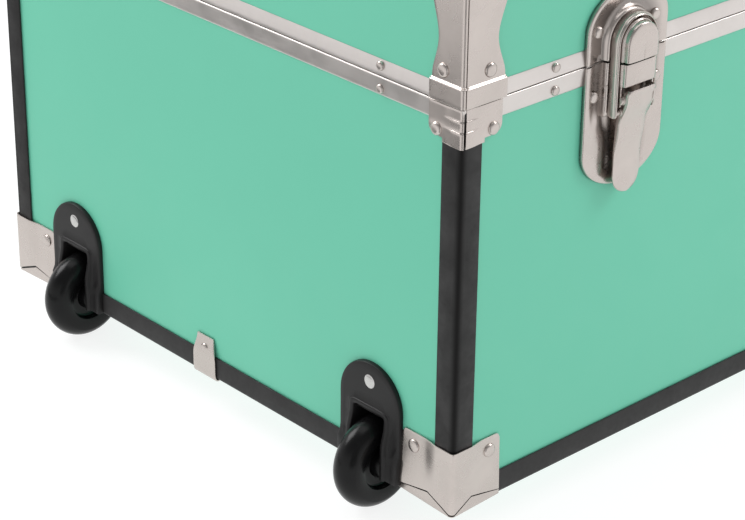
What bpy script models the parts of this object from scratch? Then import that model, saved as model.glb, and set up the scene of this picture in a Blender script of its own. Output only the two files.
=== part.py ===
"""A wheeled storage footlocker: a panelled box with a hinged lid, metal corners and bands,
black edge bindings, two draw latches, a centre lock, a carrying handle and two wheels.

The chest frame has its origin at the middle of the box's underside: X runs from the wheel end (-)
to the handle end (+), Y from the front (-) to the back (+), Z up. All sizes are in metres."""
import math

import bmesh
import bpy

# Box
LENGTH = 0.762
DEPTH = 0.400
BASE_HEIGHT = 0.236
LID_HEIGHT = 0.075
TOP = BASE_HEIGHT + LID_HEIGHT
HALF_X = LENGTH / 2
HALF_Y = DEPTH / 2
PANEL = 0.006
GAP = 0.0003
PARTING = 0.0004

# Layers on the outside of the panels, as distances out from the panel's face
BAND_OUT = 0.0013
BINDING_OUT = 0.0015
TRIM_IN = 0.0018
TRIM_OUT = 0.0028
FIT_IN = 0.0016

# Bindings, bands and corners
BINDING_WIDTH = 0.0132
BINDING_START = 0.016
EDGE_ROUND = 0.0022
BASE_BAND = 0.011
LID_BAND = 0.009
SHEET = 0.001
TONGUE_OUT = 0.0068
TONGUE_RISE = 0.004
BOTTOM_CORNER = (0.0330, 0.0348, 0.0368)
CORNER_FOOT = (0.0268, 0.0228)
CORNERS = {
    "front_wheel": (-1, -1),
    "front_handle": (1, -1),
    "back_wheel": (-1, 1),
    "back_handle": (1, 1),
}

# Wheels
WHEEL_RADIUS = 0.028
TYRE_HALF = 0.0097
WHEEL_INSET = 0.0635
WHEEL_RISE = 0.004
WHEEL_IN = 0.0016
AXLE_RADIUS = 0.003
SLOT_HALF = 0.0125
SLOT_TOP = 0.035
WELL_WALL = 0.0025
WELL_DEPTH = 0.0335
PLATE_HALF = 0.025
PLATE_TOP = 0.0665
PLATE_THICK = 0.003
WHEEL_DROP = WHEEL_RADIUS - WHEEL_RISE

# Draw latches
LATCH_X = HALF_X - 0.118
LATCH_HALF = 0.031
LATCH_BOTTOM = BASE_HEIGHT - 0.0736
LATCH_TOP = BASE_HEIGHT + 0.0395
LATCH_END = 0.023
BOSS_HALF = 0.0132
BRIDGE_BOTTOM = BASE_HEIGHT - 0.0134
BRIDGE_OUT = 0.0135
DOME_OUT = 0.0052
DOME_HALF = 0.012
PIVOT_OUT = 0.0105
PIVOT_Z = BASE_HEIGHT - 0.0212
LINK_PIN_OUT = 0.0088
LINK_PIN_Z = BASE_HEIGHT - 0.0283
PIN_RADIUS = 0.0020
LINK_PIN_RADIUS = 0.0017
RUN = 0.0003
LINK_HALF = 0.016
LINK_RIM = 0.0024
LINK_TOP = BASE_HEIGHT + 0.0254
LINK_OUT = (0.0056, 0.0106)
LEVER_SHEET = 0.0013
LEVER_PROUD = 0.016
LEVER_LOW = 0.0072
LEVER_TOP = PIVOT_Z + 0.0060

# Hinges
HINGE_X = 0.230
HINGE_OUT = 0.0052
HINGE_RADIUS = 0.0028
HINGE_PIN = 0.0013
HINGE_HALF = 0.026
HINGE_LEAF = 0.032
HINGE_PROUD = HINGE_OUT + HINGE_RADIUS

# Handle
GRIP_RADIUS = 0.011
HANDLE_OUT = WHEEL_RADIUS - WHEEL_IN - GRIP_RADIUS
HANDLE_Z = 0.160
HANDLE_DROP = 0.047
HANDLE_LEG = 0.048
HANDLE_END = 0.068
HANDLE_PIN = 0.003

# Centre lock
LOCK_HALF = 0.022
LOCK_OUT = 0.012
LOCK_DROP = 0.048
CYLINDER_RADIUS = 0.007

Y_SHIFT = (LEVER_PROUD - HINGE_PROUD) / 2

FINISHES = {
    "mint_vinyl": ((0.183, 0.584, 0.418), 0.42, 0.0),
    "black_vinyl": ((0.045, 0.042, 0.042), 0.5, 0.0),
    "galvanised": ((0.62, 0.58, 0.55), 0.32, 1.0),
    "nickel": ((0.66, 0.60, 0.56), 0.28, 1.0),
    "black_plastic": ((0.03, 0.03, 0.032), 0.4, 0.0),
    "wheel_plastic": ((0.012, 0.012, 0.013), 0.15, 0.0),
    "steel": ((0.55, 0.54, 0.53), 0.3, 1.0),
    "brass": ((0.70, 0.52, 0.22), 0.3, 1.0),
}


# ---------------------------------------------------------------- helpers
def finish(name, kind):
    """The Principled material of one sub-part."""
    colour, roughness, metallic = FINISHES[kind]
    material = bpy.data.materials.new(f"{name}_{kind}")
    material.use_nodes = True
    shader = material.node_tree.nodes["Principled BSDF"]
    shader.inputs["Base Color"].default_value = (*colour, 1.0)
    shader.inputs["Roughness"].default_value = roughness
    shader.inputs["Metallic"].default_value = metallic
    return material


def solid(name, points, faces, kind=None, parent=None, smooth=False):
    """One object from points and faces, its faces turned outwards."""
    mesh = bpy.data.meshes.new(name)
    work = bmesh.new()
    corners = [work.verts.new(point) for point in points]
    for face in faces:
        work.faces.new([corners[index] for index in face])
    bmesh.ops.recalc_face_normals(work, faces=work.faces)
    work.to_mesh(mesh)
    work.free()
    if smooth:
        mesh.shade_smooth()
        mesh.set_sharp_from_angle(angle=math.radians(35))
    made = bpy.data.objects.new(name, mesh)
    if kind:
        mesh.materials.append(finish(name, kind))
    made.parent = parent or chest
    bpy.context.collection.objects.link(made)
    return made


def loft(name, sections, kind=None, closed=False, **options):
    """A skin over sections that each have the same number of points, capped unless it is a loop."""
    count = len(sections[0])
    points = [point for section in sections for point in section]
    faces = []
    steps = len(sections) if closed else len(sections) - 1
    for step in range(steps):
        here, there = step * count, (step + 1) % len(sections) * count
        for index in range(count):
            after = (index + 1) % count
            faces.append((here + index, here + after, there + after, there + index))
    if not closed:
        faces.append(tuple(range(count)))
        faces.append(tuple(len(points) - count + index for index in range(count)))
    return solid(name, points, faces, kind, **options)


def box(name, low, high, kind=None, **options):
    """A box between two opposite corners."""
    outline = [(low[0], low[1]), (high[0], low[1]), (high[0], high[1]), (low[0], high[1])]
    return loft(name, [[(x, y, z) for x, y in outline] for z in (low[2], high[2])], kind, **options)


def along_x(name, outline, low, high, kind=None, **options):
    """A prism of a (y, z) outline."""
    return loft(name, [[(x, y, z) for y, z in outline] for x in (low, high)], kind, **options)


def along_y(name, outline, low, high, kind=None, **options):
    """A prism of an (x, z) outline."""
    return loft(name, [[(x, y, z) for x, z in outline] for y in (low, high)], kind, **options)


def along_z(name, outline, low, high, kind=None, **options):
    """A prism of an (x, y) outline."""
    return loft(name, [[(x, y, z) for x, y in outline] for z in (low, high)], kind, **options)


def arc(centre, radii, start, end, steps):
    """Points on an ellipse's arc, from one angle to another in degrees."""
    angles = [math.radians(start + (end - start) * step / steps) for step in range(steps + 1)]
    return [(centre[0] + radii[0] * math.cos(a), centre[1] + radii[1] * math.sin(a)) for a in angles]


def circle(centre, radius, sides):
    """The corners of a regular outline round a centre."""
    return arc(centre, (radius, radius), 0, 360, sides)[:-1]


def combine(target, other, operation):
    """Unite another shape with the target, or cut it away."""
    other.hide_render = True
    other.display_type = "WIRE"
    other.data.materials.clear()
    change = target.modifiers.new(other.name, "BOOLEAN")
    change.operation = operation
    change.solver = "EXACT"
    change.object = other


def unite(target, other):
    combine(target, other, "UNION")


def cut(target, other):
    combine(target, other, "DIFFERENCE")


def angle_outline(wide, tall, inner, outer):
    """An angle strip's section round the corner at (0, 0), with a rounded outer edge."""
    r = EDGE_ROUND
    bend = arc((r - outer, r - outer), (r, r), 180, 270, 3)
    return bend + [(wide, -outer), (wide, -inner), (-inner, -inner), (-inner, tall), (-outer, tall)]


def at_corner(signs, points, z):
    """Distances in from the two faces of a vertical edge, turned into places in the chest."""
    return [(signs[0] * (HALF_X - u), signs[1] * (HALF_Y - v), z) for u, v in points]


# ---------------------------------------------------------------- box and lid
def base_panels():
    """The base's four walls and its floor, with two notches for the wheel wells."""
    top = BASE_HEIGHT - PARTING - SHEET - GAP
    inner_y = HALF_Y - PANEL - GAP
    inner_x = HALF_X - PANEL - GAP
    for name, side in (("base_front_panel", -1), ("base_back_panel", 1)):
        y_faces = sorted((side * HALF_Y, side * (HALF_Y - PANEL)))
        box(name, (-HALF_X, y_faces[0], 0), (HALF_X, y_faces[1], top), "mint_vinyl")
    box("base_handle_end_panel", (HALF_X - PANEL, -inner_y, 0), (HALF_X, inner_y, top), "mint_vinyl")

    wells = [side * (HALF_Y - WHEEL_INSET) for side in (-1, 1)]
    half = SLOT_HALF + WELL_WALL + GAP
    high = SLOT_TOP + WELL_WALL + GAP
    outline = [(inner_y, top), (-inner_y, top), (-inner_y, 0)]
    for y in wells:
        outline += [(y - half, 0), (y - half, high), (y + half, high), (y + half, 0)]
    outline.append((inner_y, 0))
    along_x("base_wheel_end_panel", outline, -HALF_X, PANEL - HALF_X, "mint_vinyl")

    back = WELL_DEPTH + WELL_WALL + GAP - HALF_X
    outline = [(inner_x, inner_y), (inner_x, -inner_y), (-inner_x, -inner_y)]
    for y in wells:
        outline += [(-inner_x, y - half), (back, y - half), (back, y + half), (-inner_x, y + half)]
    outline.append((-inner_x, inner_y))
    along_z("base_bottom_panel", outline, 0, PANEL, "mint_vinyl")


def lid_panels():
    """The lid's top and its four walls."""
    low = BASE_HEIGHT + PARTING + SHEET + GAP
    high = TOP - PANEL - GAP
    inner_y = HALF_Y - PANEL - GAP
    box("lid_top_panel", (-HALF_X, -HALF_Y, TOP - PANEL), (HALF_X, HALF_Y, TOP), "mint_vinyl")
    for name, side in (("lid_front_panel", -1), ("lid_back_panel", 1)):
        y_faces = sorted((side * HALF_Y, side * (HALF_Y - PANEL)))
        box(name, (-HALF_X, y_faces[0], low), (HALF_X, y_faces[1], high), "mint_vinyl")
    for name, side in (("lid_wheel_end_panel", -1), ("lid_handle_end_panel", 1)):
        x_faces = sorted((side * HALF_X, side * (HALF_X - PANEL)))
        box(name, (x_faces[0], -inner_y, low), (x_faces[1], inner_y, high), "mint_vinyl")


def frame_ring(name, profile, kind):
    """A section of (distance out from the panels, height) carried round the box with mitred corners."""
    sections = []
    for signs in ((-1, -1), (1, -1), (1, 1), (-1, 1)):
        sections.append(at_corner(signs, [(-out, -out) for out, _ in profile], 0))
        sections[-1] = [(x, y, z) for (x, y, _), (_, z) in zip(sections[-1], profile)]
    return loft(name, sections, kind, closed=True)


def bands():
    """The metal bands on both sides of the parting line; the base's one has a tongue inside the lid."""
    edge = BASE_HEIGHT - PARTING
    tongue_in = -TONGUE_OUT - SHEET
    frame_ring("base_valance", [
        (BAND_OUT, BASE_HEIGHT - BASE_BAND),
        (BAND_OUT, edge),
        (-TONGUE_OUT, edge),
        (-TONGUE_OUT, BASE_HEIGHT + TONGUE_RISE),
        (tongue_in, BASE_HEIGHT + TONGUE_RISE),
        (tongue_in, edge - PANEL),
        (-TONGUE_OUT, edge - PANEL),
        (-TONGUE_OUT, edge - SHEET),
        (GAP, edge - SHEET),
        (GAP, BASE_HEIGHT - BASE_BAND),
    ], "galvanised")
    edge = BASE_HEIGHT + PARTING
    frame_ring("lid_valance", [
        (BAND_OUT, BASE_HEIGHT + LID_BAND),
        (BAND_OUT, edge),
        (-PANEL, edge),
        (-PANEL, edge + SHEET),
        (GAP, edge + SHEET),
        (GAP, BASE_HEIGHT + LID_BAND),
    ], "galvanised")


# ---------------------------------------------------------------- bindings
def bindings():
    """Vinyl angle strips on the base's upright and bottom edges, and a ring round the lid's top."""
    section = angle_outline(BINDING_WIDTH, BINDING_WIDTH, GAP, BINDING_OUT)
    cap_top = BASE_HEIGHT - BASE_BAND - GAP
    for corner, signs in CORNERS.items():
        rows = [at_corner(signs, section, z) for z in (BINDING_START, cap_top)]
        loft(f"post_binding_{corner}", rows, "black_vinyl")
    for side, sign in (("front", -1), ("back", 1)):
        reach = HALF_X - BINDING_START
        rows = [[(x, sign * (HALF_Y - a), b) for a, b in section] for x in (-reach, reach)]
        loft(f"bottom_binding_{side}", rows, "black_vinyl")
    wheel_reach = HALF_Y - WHEEL_INSET - PLATE_HALF - GAP
    for side, sign, reach in (("wheel_end", -1, wheel_reach), ("handle_end", 1, HALF_Y - BINDING_START)):
        rows = [[(sign * (HALF_X - a), y, b) for a, b in section] for y in (-reach, reach)]
        loft(f"bottom_binding_{side}", rows, "black_vinyl")
    frame_ring("lid_binding", [(-a, TOP - b) for a, b in section], "black_vinyl")


# ---------------------------------------------------------------- metal corners
def corner_plate(name, signs, wide, deep, low, high):
    """The flat leaf of a metal corner, over or under the box, with its inner corner cut off."""
    short = 0.35
    edge = SHEET / 2 - TRIM_OUT
    bend = EDGE_ROUND - SHEET / 2
    outline = arc((edge + bend, edge + bend), (bend, bend), 180, 270, 3)
    outline += [(wide, edge), (wide, deep * short), (wide * short, deep), (edge, deep)]
    return loft(name, [at_corner(signs, outline, z) for z in (low, high)])


def metal_corners():
    """Bottom corners, the winged caps under the parting line and the waisted lid corners."""
    foot_x, foot_y = CORNER_FOOT
    wide, deep, tall = BOTTOM_CORNER
    cap_rows = [
        (0.0212, 0.0135, 0.0112),
        (0.0190, 0.0140, 0.0117),
        (0.0187, foot_x - 0.0055, foot_y - 0.0055),
        (0.0167, foot_x - 0.0015, foot_y - 0.0015),
        (0.0130, foot_x, foot_y),
        (0.0006, foot_x, foot_y),
    ]
    lid_shape = [(0.0006, 1.0), (0.0105, 1.0), (0.0130, 0.98), (0.0220, 0.86), (0.0300, 0.79), (0.0360, 0.775)]
    lid_shape += [(0.0420, 0.80), (0.0500, 0.88), (0.0580, 1.0), (0.0640, 1.05), (LID_HEIGHT + TRIM_OUT, 1.06)]
    lid_rows = [(rise, foot_x * part, foot_y * part) for rise, part in lid_shape]
    for corner, signs in CORNERS.items():
        def rows(heights):
            return [at_corner(signs, angle_outline(x, y, TRIM_IN, TRIM_OUT), z) for z, x, y in heights]

        name = f"bottom_corner_{corner}"
        shell = loft(name, rows([(-TRIM_OUT, wide, deep), (tall, wide, deep)]), "nickel")
        unite(shell, corner_plate(f"{name}_sole", signs, wide - 0.001, deep - 0.001, -TRIM_OUT, -TRIM_IN))

        cap = [(BASE_HEIGHT - drop, x, y) for drop, x, y in cap_rows]
        loft(f"base_corner_{corner}", rows(cap), "nickel")

        name = f"lid_corner_{corner}"
        shell = loft(name, rows([(BASE_HEIGHT + rise, x, y) for rise, x, y in lid_rows]), "nickel")
        unite(shell, corner_plate(f"{name}_cap", signs, foot_x, foot_y, TOP + TRIM_IN, TOP + TRIM_OUT))


def edge_clamps():
    """A clip over the bottom binding in the middle of each end."""
    half = 0.011
    section = angle_outline(0.020, 0.027, TRIM_IN, TRIM_OUT)
    for side, sign, centre in (("wheel_end", -1, 0.010), ("handle_end", 1, 0.0)):
        rows = [[(sign * (HALF_X - a), centre + y, b) for a, b in section] for y in (-half, half)]
        loft(f"edge_clamp_{side}", rows, "nickel")


# ---------------------------------------------------------------- wheels
def wheel_profile():
    """A turned section, as (radius, distance along the axle): bore, hub, web and a fat round tread."""
    bore = AXLE_RADIUS + GAP
    hub, web, rim = 0.0075, 0.0040, 0.0165
    hub_half = SLOT_HALF - 0.0012
    tread = arc((WHEEL_RADIUS - TYRE_HALF, 0), (TYRE_HALF, TYRE_HALF), -90, 90, 8)
    right = [(hub, hub_half), (hub, web), (rim, web)]
    left = [(radius, -place) for radius, place in reversed(right)]
    return [(bore, hub_half)] + right + list(reversed(tread)) + left + [(bore, -hub_half)]


def wheels():
    """Two wheels on steel axles, each in a moulded housing let into the wheel end and the floor."""
    axle_x = WHEEL_IN - HALF_X
    face = -HALF_X - GAP
    for side, sign in (("front", -1), ("back", 1)):
        y = sign * (HALF_Y - WHEEL_INSET)
        hub = bpy.data.objects.new(f"wheel_{side}_axis", None)
        hub.location = (axle_x, y, WHEEL_RISE)
        hub.parent = chest
        bpy.context.collection.objects.link(hub)
        profile = wheel_profile()
        steps = 32
        turns = [2 * math.pi * step / steps for step in range(steps)]
        rings = [[(r * math.cos(t), a, r * math.sin(t)) for r, a in profile] for t in turns]
        loft(f"wheel_{side}", rings, "wheel_plastic", closed=True, parent=hub, smooth=True)
        wall = SLOT_HALF + WELL_WALL
        along_y(f"axle_{side}", circle((0, 0), AXLE_RADIUS, 24), -wall, wall, "steel", parent=hub, smooth=True)

        bend = PLATE_TOP - PLATE_HALF
        outline = [(y - PLATE_HALF, 0)]
        outline += arc((y, bend), (PLATE_HALF, PLATE_HALF), 180, 0, 14)
        outline.append((y + PLATE_HALF, 0))
        name = f"wheel_housing_{side}"
        housing = along_x(name, outline, face - PLATE_THICK, face, "black_plastic")
        well_back = WELL_DEPTH + WELL_WALL - HALF_X
        well_top = SLOT_TOP + WELL_WALL
        unite(housing, box(f"{name}_well", (face - 0.001, y - wall, 0), (well_back, y + wall, well_top)))
        low = (face - 2 * PLATE_THICK, y - SLOT_HALF, -WHEEL_RADIUS)
        cut(housing, box(f"{name}_slot", low, (WELL_DEPTH - HALF_X, y + SLOT_HALF, SLOT_TOP)))
        bore = circle((axle_x, WHEEL_RISE), AXLE_RADIUS + GAP, 24)
        cut(housing, along_y(f"{name}_bore", bore, y - wall - GAP, y + wall + GAP))


# ---------------------------------------------------------------- draw latches
def lever_out(z):
    """How far the lever's front stands out from the front panels at a height over the box's bottom."""
    foot = LATCH_BOTTOM + 0.010
    rise = min(1.0, max(0.0, (z - foot) / (LEVER_TOP - 0.002 - foot)))
    return LEVER_LOW + (LEVER_PROUD - LEVER_LOW) * rise ** 1.9


def latch_link(name, x, kind):
    """The drawn ring: two legs and a round head, on a cross pin through the lever."""
    head_z = LINK_TOP - LINK_HALF
    foot = LINK_PIN_Z - 0.0027
    inner = LINK_HALF - LINK_RIM
    outline = [(x - LINK_HALF, foot)]
    outline += arc((x, head_z), (LINK_HALF, LINK_HALF), 180, 0, 16)
    outline += [(x + LINK_HALF, foot), (x + inner, foot)]
    outline += arc((x, head_z), (inner, inner), 0, 180, 16)
    outline.append((x - inner, foot))
    near, far = LINK_OUT
    ring = along_y(name, outline, -HALF_Y - far, -HALF_Y - near, kind, smooth=True)
    pin = circle((-HALF_Y - LINK_PIN_OUT, LINK_PIN_Z), LINK_PIN_RADIUS, 16)
    unite(ring, along_x(f"{name}_pin", pin, x - inner - 0.001, x + inner + 0.001))


def latch_lever(name, x, kind):
    """The lever: a long tongue with a round end, and two cheeks that hold the pivot and the link's pin."""
    tip = LATCH_BOTTOM - 0.004
    end = 0.0105
    rows = [(LEVER_TOP, 0.0115), (LEVER_TOP - 0.0016, 0.0115), (PIVOT_Z, 0.0115), (PIVOT_Z - 0.010, 0.0110)]
    rows += [(PIVOT_Z - 0.020, 0.0106), (PIVOT_Z - 0.030, end), (tip + end, end)]
    rows += [(tip + end - end * math.sin(a), end * math.cos(a)) for a in (0.35, 0.7, 1.0, 1.25, 1.45)]
    sections = []
    for z, half in rows:
        curl = 0.0014 if z == LEVER_TOP else 0.0
        front = curl - HALF_Y - lever_out(z)
        back = front + LEVER_SHEET
        sections.append([(x - half, front, z), (x + half, front, z), (x + half, back, z), (x - half, back, z)])
    lever = loft(name, sections, kind)
    pivot_y, pin_y = -HALF_Y - PIVOT_OUT, -HALF_Y - LINK_PIN_OUT
    front = [(-HALF_Y - lever_out(z) + 0.0005, z) for z in (LINK_PIN_Z - 0.003, PIVOT_Z - 0.003, PIVOT_Z + 0.003)]
    rear = arc((pivot_y, PIVOT_Z), (0.0035, 0.0035), 70, 0, 4) + arc((pin_y, LINK_PIN_Z), (0.003, 0.003), 0, -70, 4)
    for side in (-1, 1):
        ends = sorted((x + side * 0.0085, x + side * 0.0110))
        unite(lever, along_x(f"{name}_cheek_{side}", front + rear, *ends))
    for label, y, z, radius in (("pivot", pivot_y, PIVOT_Z, PIN_RADIUS), ("link", pin_y, LINK_PIN_Z, LINK_PIN_RADIUS)):
        hole = circle((y, z), radius + RUN, 16)
        cut(lever, along_x(f"{name}_{label}_hole", hole, x - 0.02, x + 0.02))


def latches():
    """Two draw latches: a catch on the lid, and a base with its lever and link."""
    for label, sign in (("wheel_side", -1), ("handle_side", 1)):
        x = sign * LATCH_X
        face = -HALF_Y
        straight = LATCH_TOP - LATCH_END
        outline = [(x - LATCH_HALF, BASE_HEIGHT + 0.0006)]
        outline += arc((x, straight), (LATCH_HALF, LATCH_END), 180, 0, 18)
        outline.append((x + LATCH_HALF, BASE_HEIGHT + 0.0006))
        catch = along_y(f"latch_catch_{label}", outline, face - TRIM_OUT, face - FIT_IN, "nickel", smooth=True)
        low = BASE_HEIGHT + 0.0006
        dome = [(x - DOME_HALF, low)]
        dome += arc((x, low + 0.0095), (DOME_HALF, DOME_HALF), 180, 0, 12)
        dome.append((x + DOME_HALF, low))
        unite(catch, along_y(f"latch_catch_{label}_dome", dome, face - DOME_OUT, face - 0.002))

        straight = LATCH_BOTTOM + LATCH_END
        high = BASE_HEIGHT - 0.0006
        outline = [(x + LATCH_HALF, high)]
        outline += arc((x, straight), (LATCH_HALF, LATCH_END), 0, -180, 18)
        outline.append((x - LATCH_HALF, high))
        name = f"latch_base_{label}"
        base = along_y(name, outline, face - TRIM_OUT, face - FIT_IN, "nickel", smooth=True)
        bridge_low = (x - BOSS_HALF, face - BRIDGE_OUT, BRIDGE_BOTTOM)
        unite(base, box(f"{name}_bridge", bridge_low, (x + BOSS_HALF, face - 0.002, high)))
        ear = [(face - 0.002, BRIDGE_BOTTOM + 0.001), (face - BRIDGE_OUT + 0.001, BRIDGE_BOTTOM + 0.001)]
        ear += arc((face - PIVOT_OUT, PIVOT_Z), (0.0038, 0.0038), 180, 270, 5)
        ear.append((face - 0.002, PIVOT_Z - 0.0038))
        for side in (-1, 1):
            ends = sorted((x + side * 0.0119, x + side * BOSS_HALF))
            unite(base, along_x(f"{name}_ear_{side}", ear, *ends))
        pin = circle((face - PIVOT_OUT, PIVOT_Z), PIN_RADIUS, 16)
        unite(base, along_x(f"{name}_pin", pin, x - 0.0125, x + 0.0125))

        latch_lever(f"latch_lever_{label}", x, "nickel")
        latch_link(f"latch_link_{label}", x, "nickel")


# ---------------------------------------------------------------- hinges
def hinges():
    """Two butt hinges on the back: the base's leaf holds the pin, the lid's leaf turns on it."""
    face = HALF_Y + FIT_IN
    axis_y = HALF_Y + HINGE_OUT
    middle = 0.010
    leaf = [(face, HINGE_RADIUS + 0.0008), (face, HINGE_LEAF), (face + SHEET, HINGE_LEAF)]
    leaf += [(face + SHEET, HINGE_RADIUS + 0.0008)]
    for label, sign in (("wheel_side", -1), ("handle_side", 1)):
        x = sign * HINGE_X
        spans = ((x - HINGE_HALF, x - middle), (x + middle, x + HINGE_HALF))
        plate = [(y, BASE_HEIGHT - rise) for y, rise in leaf]
        name = f"hinge_base_leaf_{label}"
        base = along_x(name, plate, x - HINGE_HALF, x + HINGE_HALF, "nickel")
        barrel = circle((axis_y, BASE_HEIGHT), HINGE_RADIUS, 16)
        for number, (low, high) in enumerate(spans):
            unite(base, along_x(f"{name}_barrel_{number}", barrel, low, high))
            web = [(face, -0.0050), (axis_y - 0.0012, -0.0016), (axis_y, -0.0024), (face + SHEET, -0.0068)]
            web = [(y, BASE_HEIGHT + z) for y, z in web]
            unite(base, along_x(f"{name}_web_{number}", web, low, high))
        pin = circle((axis_y, BASE_HEIGHT), HINGE_PIN, 12)
        unite(base, along_x(f"{name}_pin", pin, x - middle - 0.002, x + middle + 0.002))

        plate = [(y, BASE_HEIGHT + rise) for y, rise in leaf]
        name = f"hinge_lid_leaf_{label}"
        lid = along_x(name, plate, x - HINGE_HALF, x + HINGE_HALF, "nickel")
        low, high = x - middle + GAP, x + middle - GAP
        unite(lid, along_x(f"{name}_barrel", barrel, low, high))
        web = [(face, 0.0050), (axis_y - 0.0012, 0.0016), (axis_y, 0.0024), (face + SHEET, 0.0068)]
        web = [(y, BASE_HEIGHT + z) for y, z in web]
        unite(lid, along_x(f"{name}_web", web, low, high))
        bore = circle((axis_y, BASE_HEIGHT), HINGE_PIN + RUN, 12)
        cut(lid, along_x(f"{name}_bore", bore, x - 0.02, x + 0.02))


# ---------------------------------------------------------------- handle
def handle():
    """A bail with a moulded grip that hangs between two brackets on the handle end."""
    swing = bpy.data.objects.new("handle_axis", None)
    swing.location = (HALF_X + HANDLE_OUT, 0, HANDLE_Z)
    swing.parent = chest
    bpy.context.collection.objects.link(swing)
    leg, bend = 0.0045, 0.007
    corner = 0.014
    half = [(-HANDLE_END, 0, HANDLE_PIN), (-HANDLE_LEG - 0.004, 0, HANDLE_PIN)]
    half.append((-HANDLE_LEG - 0.0035, 0, leg))
    half += [(y, z, leg) for y, z in arc((-HANDLE_LEG - 0.003, -bend), (bend, bend), 75, 0, 4)]
    grip_y = bend + corner - HANDLE_LEG - 0.003
    half += [(y, z, leg + 0.001) for y, z in arc((grip_y, corner - HANDLE_DROP), (corner, corner), 180, 262, 5)]
    half += [(grip_y + 0.003, -HANDLE_DROP, 0.0085), (grip_y + 0.008, -HANDLE_DROP, GRIP_RADIUS)]
    path = half + [(-y, z, radius) for y, z, radius in reversed(half)]
    sides = 12
    rings = []
    for index, (y, z, radius) in enumerate(path):
        before = path[max(index - 1, 0)]
        after = path[min(index + 1, len(path) - 1)]
        run_y, run_z = after[0] - before[0], after[1] - before[1]
        length = math.hypot(run_y, run_z)
        across = (-run_z / length, run_y / length)
        turns = [2 * math.pi * (side + 0.5) / sides for side in range(sides)]
        scale = radius / math.cos(math.pi / sides)
        rings.append([
            (scale * math.cos(t), y + scale * math.sin(t) * across[0], z + scale * math.sin(t) * across[1])
            for t in turns
        ])
    loft("handle_bail", rings, "black_plastic", parent=swing, smooth=True)

    face = HALF_X + GAP
    axis_x = HALF_X + HANDLE_OUT
    barrel_half = 0.007
    for label, sign in (("front", -1), ("back", 1)):
        y = sign * (HANDLE_END - barrel_half)
        name = f"handle_bracket_{label}"
        outline = circle((y, HANDLE_Z), 0.017, 24)
        outline = [(a, HANDLE_Z + (b - HANDLE_Z) * 1.35) for a, b in outline]
        bracket = along_x(name, outline, face, face + 0.0015, "nickel", smooth=True)
        web = (face, y - barrel_half, HANDLE_Z - 0.005)
        unite(bracket, box(f"{name}_web", web, (axis_x, y + barrel_half, HANDLE_Z + 0.005)))
        barrel = circle((axis_x, HANDLE_Z), 0.0055, 20)
        unite(bracket, along_y(f"{name}_barrel", barrel, y - barrel_half, y + barrel_half))
        bore = circle((axis_x, HANDLE_Z), HANDLE_PIN / math.cos(math.pi / sides) + RUN, 20)
        cut(bracket, along_y(f"{name}_bore", bore, y - 0.02, y + 0.02))


# ---------------------------------------------------------------- centre lock
def centre_lock():
    """A lock case on the base, whose pocket takes a tongue on the lid's strike plate, with a key cylinder."""
    face = -HALF_Y
    high = BASE_HEIGHT - 0.0008
    low = BASE_HEIGHT - LOCK_DROP
    corner = 0.008
    outline = [(LOCK_HALF, high)]
    outline += arc((LOCK_HALF - corner, low + corner), (corner, corner), 0, -90, 5)
    outline += arc((corner - LOCK_HALF, low + corner), (corner, corner), -90, -180, 5)
    outline.append((-LOCK_HALF, high))
    case = along_y("lock_case", outline, face - LOCK_OUT, face - FIT_IN, "nickel", smooth=True)
    pocket_low = (-0.0095, face - 0.0078, high - 0.014)
    cut(case, box("lock_case_pocket", pocket_low, (0.0095, face - 0.0040, BASE_HEIGHT)))
    centre_z = BASE_HEIGHT - 0.030
    bore = circle((0, centre_z), CYLINDER_RADIUS + RUN, 28)
    cut(case, along_y("lock_case_bore", bore, face - 2 * LOCK_OUT, face - 0.0055))

    turn = bpy.data.objects.new("key_axis", None)
    turn.location = (0, face - LOCK_OUT, centre_z)
    turn.parent = chest
    bpy.context.collection.objects.link(turn)
    barrel = circle((0, 0), CYLINDER_RADIUS, 28)
    cylinder = along_y("key_cylinder", barrel, -0.0012, LOCK_OUT - 0.0060, "brass", parent=turn, smooth=True)
    keyway = box("key_cylinder_keyway", (-0.0007, -0.004, -0.0045), (0.0007, 0.003, 0.0045), parent=turn)
    cut(cylinder, keyway)

    top = BASE_HEIGHT + 0.030
    outline = [(-LOCK_HALF, BASE_HEIGHT + 0.0008)]
    outline += arc((corner - LOCK_HALF, top - corner), (corner, corner), 180, 90, 5)
    outline += arc((LOCK_HALF - corner, top - corner), (corner, corner), 90, 0, 5)
    outline.append((LOCK_HALF, BASE_HEIGHT + 0.0008))
    strike = along_y("lock_strike", outline, face - TRIM_OUT, face - FIT_IN, "nickel", smooth=True)
    hook = [(face - 0.0020, BASE_HEIGHT + 0.0008), (face - 0.0020, BASE_HEIGHT + 0.010)]
    hook += [(face - 0.0072, BASE_HEIGHT + 0.006), (face - 0.0072, BASE_HEIGHT - 0.0125)]
    hook += [(face - 0.0048, BASE_HEIGHT - 0.0125), (face - 0.0048, BASE_HEIGHT + 0.0008)]
    unite(strike, along_x("lock_strike_tongue", hook, -0.0085, 0.0085))


for leftover in list(bpy.data.objects):
    bpy.data.objects.remove(leftover, do_unlink=True)
chest = bpy.data.objects.new("chest", None)
chest.location = (0, Y_SHIFT, WHEEL_DROP)
bpy.context.collection.objects.link(chest)
base_panels()
lid_panels()
bands()
bindings()
metal_corners()
edge_clamps()
wheels()
latches()
hinges()
handle()
centre_lock()
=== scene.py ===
"""The looks of a wheeled footlocker with metal corners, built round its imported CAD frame.

Shapes are written in millimetres in the frame's axes: X from the wheel end to the handle end, Y from the
front to the back, Z up. A height is over the box's underside, and a rise is over the parting line."""

import math

import bmesh
import bpy
from mathutils import Matrix, Vector


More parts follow.
